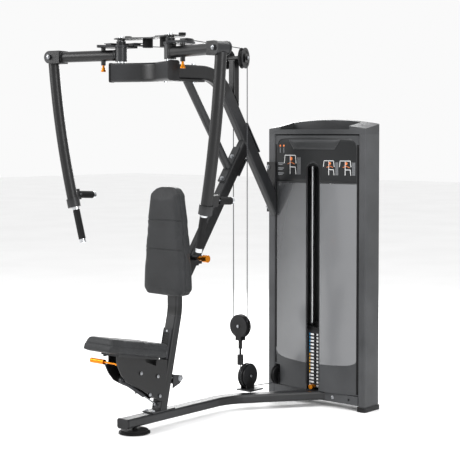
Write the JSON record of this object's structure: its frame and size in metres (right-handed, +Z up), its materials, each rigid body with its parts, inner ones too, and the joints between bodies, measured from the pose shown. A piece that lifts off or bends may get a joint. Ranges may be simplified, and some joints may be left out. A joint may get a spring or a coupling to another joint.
{
  "type": "pec deck machine",
  "caption": "Pec fly gym machine with swinging arms, padded seat and back, pulleys and a side weight tower.",
  "frame": {"origin": "on the floor under the middle of the front foot", "axes": "+Z up, the user sits facing -Y, the weight tower stands behind at +Y and to the +X side"},
  "size_m": [1.2473, 1.5228, 1.994],
  "materials": {
    "powder_coat": "fine texture powder coat",
    "panel_grey": "satin",
    "smoked": "smoked, gloss",
    "black_plastic": "satin",
    "black_rubber": "matt",
    "black_steel": "satin",
    "cam_steel": "satin",
    "chrome": "polished",
    "steel_cable": "coated strand",
    "amber": "anodised",
    "upholstery": "grained"
  },
  "bodies": {
    "frame": {"base_beam": "powder_coat", "tube_end_caps": "black_plastic", "front_foot": "black_rubber", "seat_post": "powder_coat", "seat_tracks": "cam_steel", "back_strut": "powder_coat", "overhead_leg": "powder_coat", "joint_plates": "powder_coat", "brace_tube": "powder_coat", "pivot_yoke": "powder_coat", "rear_mast": "powder_coat", "frame_bolts": "chrome", "tower_post_left": "powder_coat", "tower_post_right": "powder_coat", "tower_crossmembers": "powder_coat", "tower_cap": "panel_grey", "placard_panel": "panel_grey", "smoked_panel": "smoked", "lower_panel": "panel_grey", "rear_panel": "panel_grey", "tower_feet": "black_plastic", "guide_rods": "chrome", "stack_bumpers": "black_rubber", "tower_pulley_brackets": "powder_coat", "beam_pulley_bracket": "powder_coat", "stack_cable": "steel_cable", "arm_cable_left": "steel_cable", "arm_cable_right": "steel_cable", "pivot_shafts": "chrome", "tie_plate": "powder_coat", "stop_bumpers": "black_rubber"},
    "arm_left_cam": {"cam_left": "cam_steel"},
    "arm_right_cam": {"cam_right": "cam_steel"},
    "arm_left_upper": {"arm_upper_left": "powder_coat"},
    "arm_right_upper": {"arm_upper_right": "powder_coat"},
    "arm_left_lower": {"arm_lower_left": "powder_coat", "grips_left": "black_rubber"},
    "arm_right_lower": {"arm_lower_right": "powder_coat", "grips_right": "black_rubber"},
    "arm_left_pin": {"arm_pin_left": "amber"},
    "arm_right_pin": {"arm_pin_right": "amber"},
    "stack": {"weight_plates": "black_steel", "stack_head": "black_steel"},
    "stack_pin": {"selector_pin": "amber"},
    "float_frame": {"floating_pulley_frame": "black_steel"},
    "float_wheel": {"floating_pulley": "black_plastic"},
    "beam_wheel": {"beam_pulley": "black_plastic"},
    "mast_wheel_left": {"mast_pulley_left": "black_plastic"},
    "mast_wheel_right": {"mast_pulley_right": "black_plastic"},
    "tower_wheel_low": {"tower_pulley": "black_plastic"},
    "tower_wheel_top_left": {"top_pulley_left": "black_plastic"},
    "tower_wheel_top_right": {"top_pulley_right": "black_plastic"},
    "seat": {"seat_pad": "upholstery", "seat_carriage": "powder_coat"},
    "lever": {"seat_lever": "amber"},
    "strut_body": {"gas_strut_body": "black_steel"},
    "strut_rod": {"gas_strut_rod": "chrome"},
    "back": {"back_pad": "upholstery", "back_pad_slide": "black_steel"},
    "back_pin": {"back_pad_pin": "amber"}
  },
  "joints": [
    {"name": "left_arm_swing", "type": "hinge", "parent": "frame", "child": "arm_left_cam", "pos_m": [-0.171, 0.084, 1.9], "axis": [0, 0, 1], "range_deg": [0, 90]},
    {"name": "right_arm_swing", "type": "hinge", "parent": "frame", "child": "arm_right_cam", "pos_m": [0.171, 0.084, 1.9], "axis": [0, 0, 1], "range_deg": [-90, 0]},
    {"name": "left_arm_start", "type": "hinge", "parent": "arm_left_cam", "child": "arm_left_upper", "pos_m": [-0.171, 0.084, 1.9], "axis": [0, 0, -1], "range_deg": [-30, 30]},
    {"name": "right_arm_start", "type": "hinge", "parent": "arm_right_cam", "child": "arm_right_upper", "pos_m": [0.171, 0.084, 1.9], "axis": [0, 0, 1], "range_deg": [-30, 30]},
    {"name": "left_arm_pin_slide", "type": "slide", "parent": "arm_left_upper", "child": "arm_left_pin", "axis": [0, 0, 1], "range_m": [0, 0.012]},
    {"name": "right_arm_pin_slide", "type": "slide", "parent": "arm_right_upper", "child": "arm_right_pin", "axis": [0, 0, 1], "range_m": [0, 0.012]},
    {"name": "left_elbow", "type": "hinge", "parent": "arm_left_upper", "child": "arm_left_lower", "pos_m": [-0.58088, -0.00762, 1.894], "axis": [0.2181, -0.9759, 0], "range_deg": [0, 12]},
    {"name": "right_elbow", "type": "hinge", "parent": "arm_right_upper", "child": "arm_right_lower", "pos_m": [0.58088, -0.00762, 1.894], "axis": [0.2181, 0.9759, 0], "range_deg": [0, 12]},
    {"name": "floating_pulley_lift", "type": "slide", "parent": "frame", "child": "float_frame", "axis": [0, 0, 1], "range_m": [0, 0.17], "deforming": ["arm_cable_left", "arm_cable_right"]},
    {"name": "stack_lift", "type": "slide", "parent": "frame", "child": "stack", "axis": [0, 0, 1], "range_m": [0, 0.17], "deforming": ["stack_cable"]},
    {"name": "mast_pulley_left_spin", "type": "hinge", "parent": "frame", "child": "mast_wheel_left", "pos_m": [-0.0647, 0.7725, 1.902], "axis": [0.9521, -0.3057, 0], "range_deg": [0, 195]},
    {"name": "mast_pulley_right_spin", "type": "hinge", "parent": "frame", "child": "mast_wheel_right", "pos_m": [0.0647, 0.7725, 1.902], "axis": [0.9521, 0.3057, 0], "range_deg": [0, 195]},
    {"name": "floating_pulley_spin", "type": "hinge", "parent": "float_frame", "child": "float_wheel", "pos_m": [0, 0.822, 0.442], "axis": [0, 1, 0], "continuous": true},
    {"name": "beam_pulley_spin", "type": "hinge", "parent": "frame", "child": "beam_wheel", "pos_m": [0, 0.884, 0.16], "axis": [1, 0, 0], "range_deg": [0, 157]},
    {"name": "tower_low_pulley_spin", "type": "hinge", "parent": "frame", "child": "tower_wheel_low", "pos_m": [0.02, 1.122, 0.134], "axis": [1, 0, 0], "range_deg": [0, 221]},
    {"name": "tower_top_left_pulley_spin", "type": "hinge", "parent": "frame", "child": "tower_wheel_top_left", "pos_m": [0.064, 1.166, 1.412], "axis": [0, -1, 0], "range_deg": [0, 221]},
    {"name": "tower_top_right_pulley_spin", "type": "hinge", "parent": "frame", "child": "tower_wheel_top_right", "pos_m": [0.2455, 1.178, 1.412], "axis": [0, -1, 0], "range_deg": [0, 221]},
    {"name": "selector_pin_slide", "type": "slide", "parent": "stack", "child": "stack_pin", "axis": [0, -1, 0], "range_m": [0, 0.09]},
    {"name": "back_pad_slide", "type": "slide", "parent": "frame", "child": "back", "axis": [0, -1, 0], "range_m": [0, 0.06]},
    {"name": "back_pad_pin_slide", "type": "slide", "parent": "frame", "child": "back_pin", "axis": [-1, 0, 0], "range_m": [0, 0.01]},
    {"name": "seat_lift", "type": "slide", "parent": "frame", "child": "seat", "axis": [0, 0.2317, 0.9728], "range_m": [0, 0.18]},
    {"name": "seat_lever_lift", "type": "hinge", "parent": "seat", "child": "lever", "pos_m": [0.033, -0.002, 0.306], "axis": [-1, 0, 0], "range_deg": [0, 8]},
    {"name": "gas_strut_swing", "type": "hinge", "parent": "frame", "child": "strut_rod", "pos_m": [0.02, 0.137, 0.122], "axis": [1, 0, 0], "range_deg": [-26, 0]},
    {"name": "gas_strut_extend", "type": "slide", "parent": "strut_rod", "child": "strut_body", "axis": [0, -0.8368, 0.5475], "range_m": [0, 0.101]}
  ],
  "couplings": [
    {"joint": "right_arm_swing", "follows": "left_arm_swing", "ratio": -1},
    {"joint": "floating_pulley_lift", "follows": "left_arm_swing", "m_per_rad": 0.108},
    {"joint": "stack_lift", "follows": "left_arm_swing", "m_per_rad": 0.108},
    {"joint": "mast_pulley_left_spin", "follows": "left_arm_swing", "ratio": 2.16},
    {"joint": "mast_pulley_right_spin", "follows": "left_arm_swing", "ratio": 2.16},
    {"joint": "beam_pulley_spin", "follows": "left_arm_swing", "ratio": 1.7419},
    {"joint": "tower_low_pulley_spin", "follows": "left_arm_swing", "ratio": 2.4545},
    {"joint": "tower_top_left_pulley_spin", "follows": "left_arm_swing", "ratio": 2.4545},
    {"joint": "tower_top_right_pulley_spin", "follows": "left_arm_swing", "ratio": 2.4545},
    {"joint": "gas_strut_swing", "follows": "seat_lift", "rad_per_m": -2.49},
    {"joint": "gas_strut_extend", "follows": "seat_lift", "ratio": 0.553}
  ]
}
